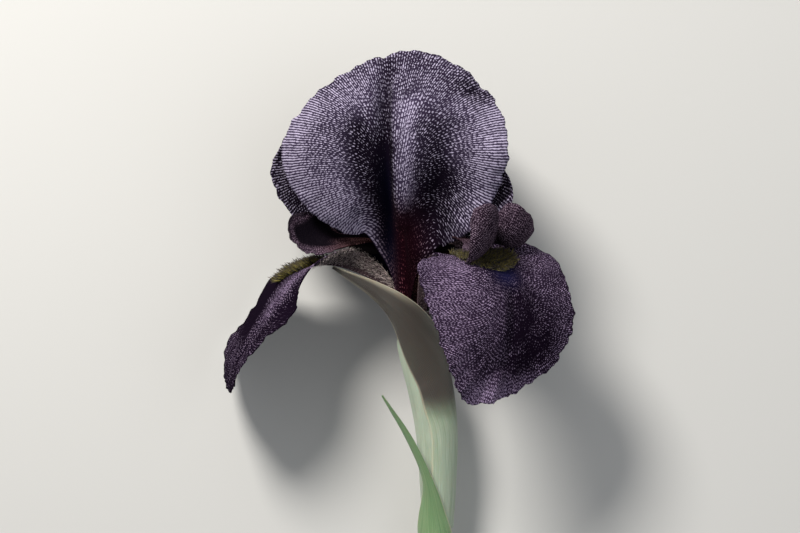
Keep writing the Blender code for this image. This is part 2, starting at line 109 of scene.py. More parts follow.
STYLE_ARM = dict(
    length=74, centre=54, meet=150, claw=1, claw_length=20, foot=1.3,
    cup={0: -40, 0.5: -50, 0.62: -45, 0.75: 60, 1: 80},
    tilt={0: 0, 0.6: 0, 0.75: -30, 1: -35}, reference=13)

PETALS = {
    "front_standard": dict(
        STANDARD, azimuth=-97, roll=0.5, shift=(-2, 0, 0), groove=(4.5, 3.6, -3.4),
        radii={0: 36, 14: 33, 30: 31, 60: 34, 90: 40.2, 125: 38, 150: 34, 158: 32.5},
        radii_right={0: 36, 14: 36, 30: 35, 60: 35.6, 90: 36.1, 125: 35, 150: 32, 158: 31},
        lean={0: 8, 0.2: 24, 0.4: 26, 0.7: -10, 1: -46}, cup={0: 55, 0.25: 40, 0.6: 50, 1: 50},
        cup_right={0: 55, 0.25: 28, 0.6: 10, 1: 30}, tilt={0: 0, 0.25: -6, 0.6: -16, 1: -5},
        tilt_right=UNBENT),
    "rear_left_standard": dict(
        STANDARD, azimuth=138, shift=(0, 2, 0),
        radii={0: 35, 30: 35, 60: 35, 90: 35, 125: 30, 150: 24, 158: 22},
        radii_right={0: 35, 30: 28, 60: 24.5, 90: 29.5, 110: 34.5, 125: 36.5, 150: 31.5, 158: 28},
        lean={0: 14, 0.08: 36, 0.2: 35, 0.4: 27, 0.7: -12, 1: -60}, cup={0: 55, 0.25: 30, 0.6: 8, 1: 20},
        cup_right={0: 55, 0.25: 30, 0.6: 10, 1: 30}, twist={0: 0, 0.25: -2, 0.5: -12, 1: -12},
        clearance=0),
    "rear_right_standard": dict(
        STANDARD, azimuth=20, length=90, centre=50, lean={0: 10, 0.2: 20, 0.4: 18, 0.7: -12, 1: -58},
        radii={0: 35, 30: 30, 60: 26, 90: 26.5, 100: 36, 107: 43, 115: 43, 125: 35, 150: 27, 158: 24},
        radii_right={0: 36, 30: 32, 60: 28, 90: 27, 125: 27, 150: 24, 158: 22},
        cup={0: 55, 0.25: 20, 0.6: 8, 1: 30}, cup_right={0: 55, 0.25: 50, 0.6: 80, 1: 70},
        sway={0: 0, 0.25: 1, 0.6: 9, 1: 9}, twist={0: 0, 0.25: 4, 0.6: 18, 1: 18}, clearance=3),
    "left_fall": dict(
        FALL, azimuth=-175, length=88, claw_length=8,
        radii={0: 15.5, 45: 19, 90: 24, 120: 28.5, 135: 31.5, 150: 33},
        radii_right={0: 15.5, 45: 18, 90: 21.5, 120: 24, 135: 27, 150: 30.5},
        lean={0: 5, 0.03: 12, 0.08: 42, 0.13: 60, 0.2: 65, 0.28: 74, 0.34: 88, 0.4: 104, 0.48: 121,
              0.56: 142, 0.66: 150, 0.82: 154, 0.92: 168, 1: 180},
        cup={0: 55, 0.15: 60, 0.3: 20, 0.4: 0, 0.5: 14, 0.62: 6, 0.72: 6, 0.82: 18, 1: 12},
        cup_right={0: 55, 0.1: 50, 0.3: 0, 0.42: -10, 0.5: -16, 0.58: -8, 0.66: 10, 0.8: 12, 0.9: 4, 1: -4},
        tilt_right={0: 0, 0.06: 20, 0.14: 58, 0.25: 58, 0.34: 20, 0.42: 0, 1: 0},
        curl_right={0: 0, 0.3: 0, 0.4: -8, 1: -8}, twist={0: 0, 0.3: 0, 0.5: -2, 1: -2}),
    "right_fall": dict(
        FALL, azimuth=-50, radii={0: 24.8, 18: 26.8, 45: 24.6, 90: 27.2, 120: 35, 135: 41, 150: 37},
        radii_right={0: 24.8, 45: 23.2, 90: 23.8, 120: 25, 135: 30, 150: 35},
        cup_right={0: 55, 0.15: 60, 0.3: 40, 0.45: 16, 0.6: 12, 1: 5},
        tilt_right={0: 0, 0.06: 20, 0.14: 50, 0.25: 50, 0.34: 20, 0.45: 4, 0.6: 4, 1: 0},
        sway={0: 0, 0.45: 0, 0.75: -3, 1: -9}),
    "rear_fall": dict(
        FALL, azimuth=75, length=78, centre=56, radii={0: 21, 45: 21, 90: 22, 120: 24, 150: 25},
        lean={0: 8, 0.12: 24, 0.22: 70, 0.34: 92, 0.5: 140, 0.66: 172, 1: 172},
        sway={0: 0, 0.25: -4, 0.55: -16, 1: -18}, twist={0: 0, 0.3: 0, 0.5: 8, 1: 8},
        cup={0: 55, 0.15: 50, 0.3: 20, 0.45: 0, 1: 0}, clearance=0.9),
}

STYLE_ARMS = {
    "left_style_arm": dict(
        STYLE_ARM, azimuth=-166, length=68, centre=49,
        lean={0: 2, 0.14: 10, 0.27: 28, 0.37: 66, 0.45: 90, 0.56: 98, 0.66: 92, 0.76: 62, 0.86: 28,
              1: -5}, radii={0: 12, 12: 13, 30: 14, 60: 15.5, 90: 15.5, 120: 15, 150: 11},
        radii_right={0: 12, 12: 10, 30: 8, 60: 6.5, 90: 5.5, 120: 5.5, 150: 7},
        cup={0: -40, 0.4: -45, 0.55: -10, 0.7: 40, 1: 55},
        cup_right={0: -40, 0.5: -30, 0.62: 30, 0.75: 60, 1: 60},
        twist={0: 0, 0.35: 0, 0.6: -40, 0.75: -58, 1: -58}, domes=[(-8, 52, 9, 1)], tilt=UNBENT),
    "right_style_arm": dict(
        STYLE_ARM, azimuth=-50,
        lean={0: 2, 0.14: 10, 0.27: 32, 0.37: 70, 0.45: 90, 0.58: 100, 0.67: 92, 0.74: 52, 0.8: 16,
              0.9: 0, 1: -12},
        radii={0: 5, 12: 6.5, 30: 13, 45: 17, 60: 20, 75: 19, 90: 15, 120: 9, 150: 8},
        radii_right={0: 5, 12: 12, 22: 13.4, 32: 13.3, 45: 14.2, 60: 15.6, 75: 16.4, 90: 15.2, 120: 8.5,
                     150: 8}, cup={0: -40, 0.5: -50, 0.62: -45, 0.75: 10, 1: 20},
        cup_right={0: -40, 0.5: -40, 0.62: -30, 0.75: 10, 1: 20},
        domes=[(-9.5, 60, 8.5, 4), (10.5, 61.5, 9.5, 6)], tilt={0: 0, 0.6: 0, 0.75: -35, 1: -35},
        tilt_right=UNBENT),
    "rear_style_arm": dict(
        STYLE_ARM, azimuth=78, length=44, centre=34, clearance=5,
        lean={0: 2, 0.2: 8, 0.4: 26, 0.6: 60, 0.75: 70, 0.87: 20, 1: -30},
        radii={0: 3, 12: 6, 30: 8, 60: 8, 90: 7.5, 120: 7, 150: 6}),
}

# A ribbon is a sheet with a round section. Each station gives its middle, the azimuth and elevation
# that its outer face looks in, the section's radius, and the half angle that the section spans.
# Where it wraps the stem, a station is (height, azimuth, radius, half angle).
OUTER_SPATHE = [
    (-69, 15, 5.4, 125), (-55, 15, 6.3, 120), (-38, 12, 7.3, 112), (-27, -5, 8, 100),
    (-18, -32, 8.3, 78), (-9, -66, 8.6, 60), ((-3.2, -10, 1.6), -95, -10, 7.5, 43),
    ((-12.6, -8.6, 9.2), -105, -20, 6, 30), ((-26, -7, 16.8), -110, -20, 5, 6),
]
INNER_SPATHE = [
    (-68.5, -118, 4.55, 125), (-55, -118, 5.2, 120), (-38, -118, 6, 112),
    (-24, -118, 6.4, 100), (-10, -118, 6.2, 66), (-4, -112, 5.8, 15),
]
STEM_LEAF = [
    (-128, -120, 4.85, 150), (-100, -118, 4.85, 140), (-80, -110, 5.1, 105),
    (-66, -105, 6.4, 50), ((4.8, -8.8, -53), -112, 5, 2.3, 50),
    ((-1.2, -10.5, -39), -118, 10, 1.5, 46), ((-9.8, -11, -25), -120, 10, 1.4, 12),
]

# A stamen lies between a fall's claw and the style arm above it: (distance from the axis, height).
FILAMENT_PATH = [(3.3, 2.4), (4, 9), (5.6, 15.8), (8, 20), (10.4, 21.6)]
FILAMENT_RADIUS = 0.45
ANTHER_PATH = [(11, 21.9), (12.6, 22.3), (16.4, 22.9), (19.6, 23), (21.4, 22.9)]
ANTHER_RADII = [0.45, 1, 1.15, 1, 0.4]


def smooth(low, high, value):
    """0 at low and before it, 1 at high and past it, smooth between them. Low may be the greater."""
    f = np.clip((value - low) / (high - low), 0, 1)
    return f * f * (3 - 2 * f)


def norm(vectors):
    """The vectors' lengths."""
    return np.linalg.norm(vectors, axis=-1)


def unit(vectors):
    return vectors / np.maximum(norm(vectors)[..., None], 1e-9)


def sheet_grid(columns, rows, end=1):
    """Shares from -1 to 1 across a sheet, and from 0 to the end along it."""
    return np.meshgrid(np.linspace(-1, 1, columns), np.linspace(0, end, rows))


def running_length(points):
    """How far along its line each point lies, for lines that run along the first index."""
    steps = norm(np.diff(points, axis=0))
    return np.concatenate([0 * steps[:1], np.cumsum(steps, axis=0)])


def through(keys, position):
    """The smooth curve through {position: value} keys, read at the given positions."""
    at, value = np.array(list(keys), float), np.array(list(keys.values()), float)
    slope = np.gradient(value, at)
    position = np.clip(position, at[0], at[-1])
    i = np.clip(np.searchsorted(at, position, side="right") - 1, 0, len(at) - 2)
    step = at[i + 1] - at[i]
    f = (position - at[i]) / step
    rise = value[i] * (2 * f**3 - 3 * f**2 + 1) + value[i + 1] * (3 * f**2 - 2 * f**3)
    return rise + step * (slope[i] * (f**3 - 2 * f**2 + f) + slope[i + 1] * (f**3 - f**2))


def either_side(petal, name, position, right):
    """A keyed value of the petal, which may differ on the right of the midrib."""
    value = through(petal.get(name, UNBENT), position)
    if name + "_right" in petal:
        value = np.where(right, through(petal[name + "_right"], position), value)
    return value


def fan(petal, share, t):
    """Flat petal: where the vein at share (-1 to 1 across) is at t (0 claw, 1 margin).

    Each vein is a cubic curve. It sets off straight up the claw and ends square to the margin. The
    two edge veins bend late and end short, so that they stay outside their neighbours.
    """
    angle = share * radians(petal["meet"])
    radius = either_side(petal, "radii", np.degrees(np.abs(angle)), angle > 0)
    centre = petal["centre"]
    edge_x, edge_y = radius * np.sin(angle), centre + radius * np.cos(angle)
    off = np.abs(share)
    foot_x = petal["claw"] * share
    rise = centre * (1 - off**5) + 0.5 * petal["claw_length"] * off**5
    reach = 0.9 * radius * (1 - off**16) + 2 * off**16
    bend_x, bend_y = edge_x - reach * np.sin(angle), edge_y - reach * np.cos(angle)
    b0, b1, b2, b3 = (1 - t)**3, 3 * t * (1 - t)**2, 3 * t**2 * (1 - t), t**3
    return (b0 + b1) * foot_x + b2 * bend_x + b3 * edge_x, b1 * rise + b2 * bend_y + b3 * edge_y


def midrib(petal, y):
    """Distance out, height and lean angle of the midrib, y along it."""
    length = petal["length"]
    s = np.linspace(0, 1.05 * length, 241)  # a little past the margin, for slopes taken there
    lean = np.radians(through(petal["lean"], s / length))
    middle = (lean[1:] + lean[:-1]) / 2
    out = petal["foot"] + np.concatenate([[0], np.cumsum(np.sin(middle) * s[1])])
    up = TUBE_TOP + GAP + np.concatenate([[0], np.cumsum(np.cos(middle) * s[1])])
    return [np.interp(y, s, values) for values in (out, up, lean)]


def section(petal, x, y):
    """The petal's cross section at y: the flat x becomes a sideways and an inward distance."""
    along = y / petal["length"]
    right = x > 0
    names = ("cup", "curl", "tilt", "twist", "sway")
    cup, curl, tilt, twist, sway = (either_side(petal, name, along, right) for name in names)
    q = np.abs(x) / petal["reference"]
    steps = 16  # the section is summed up in this many chords from midrib to edge
    across, inward = np.zeros_like(x), np.zeros_like(x)
    for step in range(steps):
        f = (step + 0.5) / steps * q
        turn = np.radians(tilt + cup * f + curl * f**4)
        across += np.cos(turn) / steps
        inward += np.sin(turn) / steps
    across, inward = across * x, inward * np.abs(x)
    if "groove" in petal:
        depth, half, aside = petal["groove"]
        fade = np.clip(3 * along, 0, 1) * np.clip(4 * (1 - along), 0, 1)
        inward = inward + depth * np.exp(-((x - aside) / half)**2) * fade
    for place_x, place_y, radius, height in petal.get("domes", ()):
        away = ((x - place_x)**2 + (y - place_y)**2) / radius**2
        inward = inward - height * np.sqrt(np.clip(1 - away, 0, 1))
    twist = np.radians(twist)
    sideways = across * np.cos(twist) - inward * np.sin(twist) + sway
    return sideways, inward * np.cos(twist) + across * np.sin(twist)


def press(points, clearance):
    """Plant points held at least the clearance above the surface that the flower lies on, softly."""
    lie = radians(LIE_ANGLE)
    height = (STEM_RADIUS - points[..., 1]) * cos(lie) + (points[..., 2] - STEM_END) * sin(lie)
    height = height - clearance - PETAL_THICKNESS / 2
    lift = (np.sqrt(height**2 + PRESS_SOFTNESS**2) - height) / 2
    return points + lift[..., None] * np.array([0, -cos(lie), sin(lie)])


def petal_points(petal, share, t):
    """Plant points of the petal's middle surface."""
    x, y = fan(petal, share, t)
    out, up, lean = midrib(petal, y)
    sideways, inward = section(petal, x, y)
    azimuth, roll = radians(petal["azimuth"]), radians(petal.get("roll", 0))
    outward, upward = np.array([cos(azimuth), sin(azimuth), 0]), np.array([0, 0, 1])
    across = np.cross(upward, outward)
    across, upward = across * cos(roll) + upward * sin(roll), upward * cos(roll) - across * sin(roll)
    out, up = out - inward * np.cos(lean), up + inward * np.sin(lean)
    points = out[..., None] * outward + sideways[..., None] * across + up[..., None] * upward
    points = points + petal.get("shift", (0, 0, 0))
    if "clearance" in petal:
        points = press(points, petal["clearance"])
    return points


def ribbon_points(stations, u, v):
    """Plant points of a ribbon: u is -1 to 1 across it, v is 0 to 1 along it."""
    order = np.arange(len(stations)) / (len(stations) - 1)

    def read(values, at):
        return through(dict(zip(order, values)), at)

    def middle(at):
        return np.stack([read([s[0][k] for s in stations], at) for k in range(3)], -1)

    step = 0.01
    tangent = unit(middle(np.clip(v + step, 0, 1)) - middle(np.clip(v - step, 0, 1)))
    azimuth, elevation, radius, spread = (read([s[k] for s in stations], v) for k in range(1, 5))
    azimuth, elevation, spread = np.radians([azimuth, elevation, spread])
    flat = np.cos(elevation)
    facing = np.stack([np.cos(azimuth) * flat, np.sin(azimuth) * flat, np.sin(elevation)], -1)
    facing = unit(facing - np.sum(facing * tangent, -1, keepdims=True) * tangent)
    side = np.cross(tangent, facing)
    turn = u * spread
    return (middle(v) + ((np.cos(turn) - 1) * radius)[..., None] * facing
            + (np.sin(turn) * radius)[..., None] * side)


def on_stem(station):
    """A ribbon's station in full, where it is given by its place round the stem."""
    if len(station) == 5:
        return station
    height, azimuth, radius, spread = station
    turn = radians(azimuth)
    middle = (through(AXIS, height) + radius * cos(turn), radius * sin(turn), height)
    return middle, azimuth, 0, radius, spread


# ---- From the plant's frame to the row's ----

TURN = Matrix.Rotation(-radians(90 - LIE_ANGLE), 3, "X")


def find_shift():
    """Where the plant's origin lies in the row frame, from the boxes of the petals' solids."""
    across, along = PETAL_FACES
    shifts = []
    for name, petal in PETALS.items():
        here = petal_points(petal, *sheet_grid(across + 1, along + 1)).reshape(-1, 3)
        here = here @ np.array(TURN).T * MM
        shifts.append((np.sum(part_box(name), 0) - here.min(0) - here.max(0)) / 2)
    return np.mean(shifts, 0)


SHIFT = find_shift()


def to_row(points):
    """Plant points in millimetres as row points in metres."""
    return np.asarray(points) @ np.array(TURN).T * MM + SHIFT


# ---- Materials ----

class Nodes:
    """A short way to write a material's nodes. A value is a number, a colour or another's output."""

    def __init__(self, name, roughness, sheen=0, sheen_tint=(1, 1, 1), specular=0.5, subsurface=0):
        self.material = bpy.data.materials.new(name)
        self.material.use_nodes = True
        self.tree = self.material.node_tree
        self.shader = self.tree.nodes["Principled BSDF"]
        for socket, value in (("Roughness", roughness), ("Sheen Weight", sheen), ("Sheen Roughness", 0.45),
                              ("Sheen Tint", (*sheen_tint, 1)), ("Specular IOR Level", specular),
                              ("Subsurface Weight", subsurface), ("Subsurface Scale", 0.0015)):
            self.shader.inputs[socket].default_value = value

    def put(self, socket, value):
        if isinstance(value, bpy.types.NodeSocket):
            self.tree.links.new(value, socket)
        else:
            socket.default_value = value

    def node(self, kind, values=(), **settings):
        """A node with its settings, and with values on its first inputs or on the named ones."""
        node = self.tree.nodes.new(kind)
        for key, value in settings.items():
            setattr(node, key, value)
        pairs = values.items() if isinstance(values, dict) else enumerate(values)
        for key, value in pairs:
            self.put(node.inputs[key], value)
        return node

    def math(self, operation, *values):
        return self.node("ShaderNodeMath", values, operation=operation).outputs[0]

    def add(self, a, b):
        return self.math("ADD", a, b)

    def times(self, a, b, plus=0):
        return self.math("MULTIPLY_ADD", a, b, plus)

    def attribute(self, name):
        node = self.node("ShaderNodeAttribute", attribute_type="GEOMETRY", attribute_name=name)
        return self.node("ShaderNodeSeparateXYZ", [node.outputs["Vector"]]).outputs

    def vector(self, *values):
        return self.node("ShaderNodeCombineXYZ", values).outputs[0]

    def place(self):
        return self.node("ShaderNodeTexCoord").outputs["Object"]

    def noise(self, vector, scale, detail=2, roughness=0.5):
        values = {"Vector": vector, "Scale": scale, "Detail": detail, "Roughness": roughness}
        return self.node("ShaderNodeTexNoise", values).outputs["Fac"]

    def swing(self, vector, scale, detail=2):
        """Noise about zero."""
        return self.math("SUBTRACT", self.noise(vector, scale, detail), 0.5)

    def chance(self, value):
        """A number from 0 to 1 that is the same wherever the value is."""
        return self.node("ShaderNodeTexWhiteNoise", {"W": value}, noise_dimensions="1D").outputs["Value"]

    def wave(self, turn, height=0.5):
        """From 0 to 1 and back with each turn in radians. Below zero, the height starts it at 0."""
        return self.times(self.math("COSINE", turn), height, 0.5)

    def ramp(self, value, low, high):
        """0 below low and 1 above high, smooth between them."""
        values = (value, low, high, 0, 1)
        return self.node("ShaderNodeMapRange", values, interpolation_type="SMOOTHSTEP").outputs[0]

    def mix(self, factor, a, b, kind="RGBA"):
        node = self.node("ShaderNodeMix", [factor], data_type=kind)
        first, output = {"FLOAT": (2, 0), "RGBA": (6, 2)}[kind]
        for socket, value in zip(node.inputs[first:first + 2], (a, b)):
            self.put(socket, (*value, 1) if isinstance(value, tuple) else value)
        return node.outputs[output]

    def finish(self, colour, height=None, distance=0.0001, strength=1):
        self.put(self.shader.inputs["Base Color"], colour)
        if height is not None:
            values = {"Distance": distance, "Strength": strength, "Height": height}
            self.put(self.shader.inputs["Normal"], self.node("ShaderNodeBump", values).outputs[0])
        return self.material


def vein_beads(g, share, octave, length, veins, bead, beaded, seed):
    """Pale stripes between a petal's forking veins, pinched to rows of beads: (stripe, speck) from 0 to 1.

    The veins halve in number with each octave, so that their spacing stays about the same. Beads are
    the bead length apart, each row starts anywhere, and beaded is how far they pinch the stripes.
    """
    whole = g.math("FLOOR", octave)
    wander = g.swing(g.vector(share, length, seed), 0.12, 3)
    stripes, specks = [], []
    for step in (0, 1):
        thinner = g.math("POWER", 2, g.add(whole, step))
        cycle = g.math("DIVIDE", g.times(share, veins / 2), thinner)
        cycle = g.add(cycle, g.math("DIVIDE", g.times(wander, 1.1), thinner))
        start = g.chance(g.add(g.math("FLOOR", cycle), seed + step))
        place = g.add(g.math("DIVIDE", length, bead), start)
        speck = g.noise(g.vector(cycle, g.times(place, 1.3), seed + step), 1.4, 1, 0.6)
        pinch = g.times(g.wave(g.times(g.times(speck, 1.5, place), 2 * pi)), beaded)
        stripe = g.wave(g.times(cycle, 2 * pi), -0.5)
        stripes.append(g.times(stripe, g.math("SUBTRACT", 1, pinch)))
        specks.append(speck)
    blend = g.ramp(g.math("SUBTRACT", octave, whole), 0, 1)
    return g.mix(blend, *stripes, kind="FLOAT"), g.mix(blend, *specks, kind="FLOAT")


def petal_material(name, dark, ground, pale, claw, claw_pale, patch_and_shade, veins, bead, beaded, seed):
    """Velvet petal: pale stripes near the margin, which break up into beads further in.

    Beaded is how far beads pinch the stripes: where the rim attribute is 0, and where it is 1.
    """
    g = Nodes(name, 0.6, 0.006, (0.8, 0.72, 0.92), 0)
    share, length, octave = g.attribute("vein")
    # The tone attribute holds the paleness, with painted light and painted shade in it, the claw's share,
    # and the patch's share: the patch colour is a real signal patch on the falls, and painted shade on the
    # standards and the style arms.
    light, clawed, patched_and_shaded = g.attribute("tone")
    pinched = g.times(g.attribute("rim")[0], beaded[1] - beaded[0], beaded[0])
    stripe, speck = vein_beads(g, share, octave, length, veins, bead, pinched, seed)
    light = g.times(g.swing(g.place(), 110, 3), 0.3, light)
    level = g.times(g.math("SUBTRACT", speck, 0.5), g.times(light, -1.2, 2.4), stripe)
    need = g.times(light, -0.62, g.times(pinched, -0.16, 0.98))
    cover = g.ramp(g.math("SUBTRACT", level, need), -0.17, 0.2)
    between = g.mix(g.ramp(light, 0.15, 1.05), dark, ground)
    glow = g.times(light, 0.75, g.times(speck, 0.9, -0.25))
    fleck = g.mix(g.ramp(glow, 0, 1), tuple(0.22 * c for c in pale), pale)
    colour = g.mix(cover, g.mix(clawed, between, claw), g.mix(clawed, fleck, claw_pale))
    height = g.add(g.times(stripe, 0.7), g.times(cover, 0.4))
    return g.finish(g.mix(patched_and_shaded, colour, patch_and_shade), height, 0.00012, 0.8)


def hair_material(name, low, high, tip):
    """Hairs between two colours, with their own colour at the tip, and some of them dark."""
    g = Nodes(name, 0.55, 0.2, (0.9, 0.85, 0.6), 0.3)
    along, pick, dark = g.attribute("hair")
    colour = g.mix(g.ramp(along, 0.6, 1), g.mix(pick, low, high), tip)
    return g.finish(g.mix(dark, colour, (0.012, 0.008, 0.014)))


def green_material(name, green, pale, flush_and_shadow, roughness, seed, ribs, depth):
    """Waxy green skin with fine lengthwise ribs.

    The tone attribute is how pale it is, how flushed, and how much of the pale margin's colour it has.
    On the outer spathe's upper part the flush is partly painted shadow.
    """
    g = Nodes(name, roughness, 0.12, (0.9, 1, 0.9), 0.4, 0.12)
    share, length, _ = g.attribute("vein")
    paleness, flushed_and_shaded, margin = g.attribute("tone")
    wander = g.noise(g.vector(share, g.times(length, 0.02), seed), 3)
    rib = g.wave(g.times(g.times(wander, 0.15, share), ribs * pi))
    streak = g.noise(g.vector(g.times(share, 14), g.times(length, 0.06), seed), 1, 4)
    colour = g.mix(g.times(rib, 0.35), green, tuple(0.62 * c for c in green))
    bloom = g.add(paleness, g.times(g.math("SUBTRACT", streak, 0.5), 0.9))
    colour = g.mix(g.ramp(bloom, 0, 1), colour, pale)
    spread = g.add(flushed_and_shaded, g.times(g.swing(g.place(), 45, 4), 0.9))
    colour = g.mix(g.ramp(spread, 0.15, 0.95), colour, flush_and_shadow)
    colour = g.mix(margin, colour, (0.72, 0.66, 0.5))
    return g.finish(colour, g.add(g.times(rib, 0.6), g.times(streak, 0.5)), depth)


def shaded_stamen_material():
    # Near black: the stamens' dusky purple darkened with painted shade, for the dark cavity where they sit
    g = Nodes("stamen_skin", 0.8, 0, (1, 1, 1), 0.08)
    grain = g.noise(g.place(), 2600)
    pollen_in_painted_shade = g.mix(grain, (0.003, 0.002, 0.003), (0.012, 0.008, 0.008))
    return g.finish(g.mix(g.attribute("tone")[0], (0.01, 0.004, 0.006), pollen_in_painted_shade), grain, 0.00008)


# ---- Meshes ----

def add_piece(name, verts, faces, material, replaced, attributes):
    """A mesh piece in the row frame that rides on the flower and takes the place of a solid."""
    mesh = bpy.data.meshes.new(name)
    mesh.from_pydata(verts.tolist(), [], faces)
    for key, values in attributes.items():
        layer = mesh.attributes.new(key, "FLOAT_VECTOR", "POINT")
        layer.data.foreach_set("vector", np.asarray(values, float).ravel())
    mesh.shade_smooth()
    piece = bpy.data.objects.new(name, mesh)
    bpy.context.scene.collection.objects.link(piece)
    mesh.materials.append(material)
    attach(piece, "root")
    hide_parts(replaced)
    return piece


def grid_normals(points):
    """Unit normals of a grid of points, on the inner side of the petal."""
    return unit(np.cross(np.gradient(points, axis=0), np.gradient(points, axis=1)))


# Each face of a sheet has its half of the map, with its rims beside the inner face's half.
MAP_EDGE = 0.02
MAP_RIM = 0.012


def closed_sheet(name, points, thickness, material, replaced, attributes):
    """A sheet piece from a grid of plant points: two faces, a rim, and a map for each face.

    An attribute is one array for both faces, or a pair of them for the inner and the outer face.
    """
    rows, columns = points.shape[:2]
    half = (thickness / 2)[..., None] * grid_normals(points)
    verts = to_row(np.concatenate([(points + half).reshape(-1, 3), (points - half).reshape(-1, 3)]))
    u, v = np.meshgrid(np.linspace(MAP_EDGE, 0.5 - MAP_EDGE, columns),
                       np.linspace(MAP_EDGE, 1 - MAP_EDGE, rows))
    flat = np.stack([u, v], -1).reshape(-1, 2)
    flat = np.concatenate([flat, flat + [0.5, 0]])
    index = np.arange(rows * columns).reshape(rows, columns)
    a, b, c, d = index[:-1, :-1], index[1:, :-1], index[1:, 1:], index[:-1, 1:]
    front = np.stack([a, b, c, d], -1).reshape(-1, 4)
    back = np.stack([a, d, c, b], -1).reshape(-1, 4) + rows * columns
    faces, places = [front, back], [flat[front], flat[back]]
    for line, away in ((index[0], (0, -1)), (index[:, -1], (1, 0)), (index[::-1, 0], (-1, 0)),
                       (index[-1, ::-1], (0, 1))):
        edge = np.stack([line[:-1], line[1:]], -1)
        faces.append(np.concatenate([edge, edge[:, ::-1] + rows * columns], -1))
        places.append(np.concatenate([flat[edge], flat[edge[:, ::-1]] + MAP_RIM * np.array(away)], 1))
    full = {}
    for key, values in attributes.items():
        pair = values if isinstance(values, tuple) else (values, values)
        full[key] = np.concatenate(pair).reshape(-1, 3)
    piece = add_piece(name, verts, np.concatenate(faces).tolist(), material, replaced, full)
    layer = piece.data.uv_layers.new(name="OFBake")
    layer.data.foreach_set("uv", np.concatenate(places).ravel())


def rod_piece(name, path, radii, material, slot, replaced, tone, sides=48, ribs=0, relief=0, oval=1):
    """A closed round piece through plant points, with lengthwise ribs and domed ends."""
    tangent = unit(np.gradient(path, axis=0))
    side = unit(np.cross(tangent, [0.03, -1, 0.05]))
    front = np.cross(side, tangent)
    turn = np.linspace(0, 2 * pi, sides, endpoint=False)
    wave = 1 + relief * np.cos(ribs * turn)
    wide, deep = (np.cos(turn) * wave)[:, None], (oval * np.sin(turn) * wave)[:, None]
    rings = path[:, None] + radii[:, None, None] * (wide * side[:, None] + deep * front[:, None])
    ends = path[[0, -1]] + 0.12 * radii[[0, -1], None] * tangent[[0, -1]] * [[-1], [1]]
    rows = len(path)
    here = np.arange(rows * sides).reshape(rows, sides)
    after = np.roll(here, -1, 1)
    faces = np.stack([here[:-1], after[:-1], after[1:], here[1:]], -1).reshape(-1, 4).tolist()
    for end, first, second in ((0, after[0], here[0]), (1, here[-1], after[-1])):
        faces += [[rows * sides + end, i, k] for i, k in zip(first.tolist(), second.tolist())]
    share, along = np.broadcast_arrays(turn / pi - 1, running_length(path)[:, None])
    vein = np.concatenate([tones(share, along).reshape(-1, 3), [[0, 0, 0], [0, along.max(), 0]]])
    shades = tone(along / along.max()).reshape(-1, 3)
    shades = np.concatenate([shades, shades[:1], shades[-1:]])
    verts = to_row(np.concatenate([rings.reshape(-1, 3), ends]))
    add_piece(name, verts, faces, material, replaced, {"vein": vein, "tone": shades})


def tones(first, second=0, third=0):
    return np.stack(np.broadcast_arrays(np.asarray(first, float), second, third), -1)


# ---- Petals ----

def fold(x, y, ax, ay, bx, by, width, height):
    """A soft ridge of the given height and half width along a line from a to b of the flat petal."""
    x, y, bx, by = x - ax, y - ay, bx - ax, by - ay
    f = np.clip((x * bx + y * by) / (bx**2 + by**2), 0, 1)
    return height * np.exp(-((x - f * bx)**2 + (y - f * by)**2) / width**2)


def waves(parts, degrees):
    """A sum of waves round the margin: (waves in 360 degrees, height, phase) each."""
    return sum(height * np.sin(np.radians(count * degrees) + phase) for count, height, phase in parts)


def window(value, start, full, fading, end):
    """1 between full and fading, 0 before the start and past the end."""
    return smooth(start, full, value) * smooth(end, fading, value)


# Folds of each petal, from one place of the flat petal to another: (x, y, x, y, half width, height
# towards the inner face)
FOLDS = {
    "front_standard": [
        (0.6, 30, 0.2, 78, 1.9, -1.5), (11, 26, 19, 62, 5, 2.6), (24, 34, 32, 52, 7.5, -2.6),
        (-17, 36, -20, 66, 8, -2.4), (-9, 58, -13, 74, 3.2, 0.9), (8, 66, 10, 76, 3.5, -0.8),
        (26, 76, 28, 82, 2.4, 1.4), (-32, 66, -34, 70, 3, 0.8), (-8, 20, -13, 34, 3, 1.2),
        (13, 22, 26, 30, 8, -7.5)],
    "rear_left_standard": [(-12, 40, -20, 70, 5, 2), (12, 40, 22, 60, 5, 1.6)],
    "rear_right_standard": [(12, 40, 20, 66, 5, 2), (-14, 40, -22, 60, 5, 1.6)],
    "right_fall": [
        (0, 62, 1, 84, 2.6, -1), (-1, 88, -1.5, 98, 2, 1.6), (-14, 74, -22, 84, 4, 0.9),
        (12, 74, 20, 88, 4.5, 1.2), (20, 60, 26, 66, 4, -1)],
    "left_fall": [(16, 52, 22, 60, 3, -1.4), (20, 38, 25, 42, 2.6, 1.2)],
    "rear_fall": [(0, 56, 1, 74, 3, -0.8)],
}

# Radii of the margin that differ from the solids'. The lower margins hang lower here, where stiff
# solids would meet the style arm.
FINE_OUTLINE = {
    "front_standard": dict(radii={0: 34.4, 14: 31.8},
                           radii_right={0: 34.4, 14: 35.2, 140: 34.2, 150: 34.4, 158: 35.2}),
    "rear_right_standard": dict(radii={125: 35.5, 140: 32, 150: 30.5, 158: 28}),
}

# How strongly the margin is ruffled, where it isn't 1
RUFFLED = {"front_standard": 0.35, "left_fall": 0.3, "right_fall": 0.5}
RUFFLE = [(7, 0.55, 0.4), (13, 0.4, 1.9), (22, 0.26, 0.7)]
FINE_RUFFLE = [(31, 0.15, 0.2), (47, 0.1, 2.1)]
SCALLOP = [(19, 0.2, 0.9), (29, 0.2, 2.2), (53, 0.17, 0.3), (97, 0.11, 1)]
STYLE_RUFFLE = [(9, 0.3, 0.3), (17, 0.2, 1.2), (31, 0.12, 2)]

